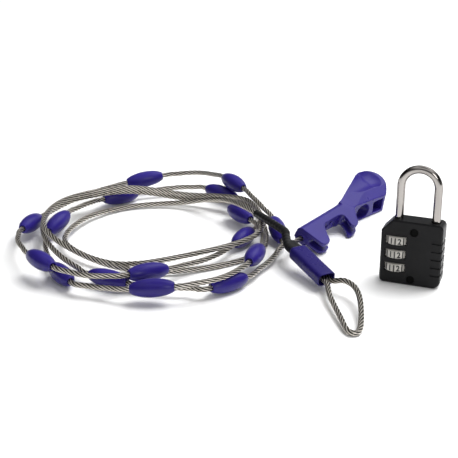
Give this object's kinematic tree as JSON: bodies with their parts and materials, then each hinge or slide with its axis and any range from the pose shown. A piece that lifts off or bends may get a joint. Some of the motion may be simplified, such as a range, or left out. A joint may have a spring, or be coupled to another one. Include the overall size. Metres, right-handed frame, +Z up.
{
  "type": "cable luggage lock",
  "caption": "Beaded steel cable with an eye loop, a tethered plastic clip that grips it between beads, and a small combination padlock.",
  "frame": {"origin": "centre of the padlock's base face, on the surface everything lies on", "axes": "+X along the padlock's width towards its short shackle leg, +Y from its front to its back, +Z up"},
  "size_m": [0.2246, 0.1772, 0.061],
  "materials": {
    "stainless_rope": "twisted bright strands",
    "bead_blue": "glossy moulded",
    "crimp_steel": "pressed",
    "sleeve_blue": "glossy moulded",
    "heat_shrink_black": "shrunk tube",
    "clip_blue": "satin moulded",
    "case_black": "satin black",
    "rivet_black": "satin black",
    "spring_steel": "drawn",
    "shackle_chrome": "polished",
    "dial_ivory": null,
    "sleeve_brass": "turned"
  },
  "bodies": {
    "cable": {"wire_rope": "stainless_rope", "bead_shells": "bead_blue", "bead_crimps": "crimp_steel", "eye_crimp": "crimp_steel", "eye_sleeve": "sleeve_blue", "heat_shrink_boot": "heat_shrink_black", "tether_stop": "crimp_steel"},
    "clip": {"clip_body": "clip_blue"},
    "padlock": {"case_front": "case_black", "case_rear": "case_black", "case_rivets": "rivet_black", "detent_spring": "spring_steel", "shackle_spring": "spring_steel"},
    "shackle": {"shackle": "shackle_chrome", "shackle_ring": "spring_steel"},
    "dial_upper": {"dial_upper": "dial_ivory", "dial_sleeve_upper": "sleeve_brass"},
    "dial_middle": {"dial_middle": "dial_ivory", "dial_sleeve_middle": "sleeve_brass"},
    "dial_lower": {"dial_lower": "dial_ivory", "dial_sleeve_lower": "sleeve_brass"}
  },
  "joints": [
    {"name": "clip_swivel", "type": "hinge", "parent": "cable", "child": "clip", "pos_m": [-0.06195, 0.01771, 0.0071], "axis": [-0.2521, -0.9677, 0], "range_deg": [0, 45]},
    {"name": "padlock_lift", "type": "slide", "parent": "cable", "child": "padlock", "axis": [0, 0, 1], "range_m": [0, 0.08]},
    {"name": "shackle_lift", "type": "slide", "parent": "padlock", "child": "shackle", "axis": [0, 0, 1], "range_m": [0, 0.006], "deforming": ["shackle_spring"]},
    {"name": "dial_upper_turn", "type": "hinge", "parent": "padlock", "child": "dial_upper", "pos_m": [-0.0075, 0, 0.02305], "axis": [0, 0, 1], "continuous": true},
    {"name": "dial_middle_turn", "type": "hinge", "parent": "padlock", "child": "dial_middle", "pos_m": [-0.0075, 0, 0.01595], "axis": [0, 0, 1], "continuous": true},
    {"name": "dial_lower_turn", "type": "hinge", "parent": "padlock", "child": "dial_lower", "pos_m": [-0.0075, 0, 0.00885], "axis": [0, 0, 1], "continuous": true}
  ]
}
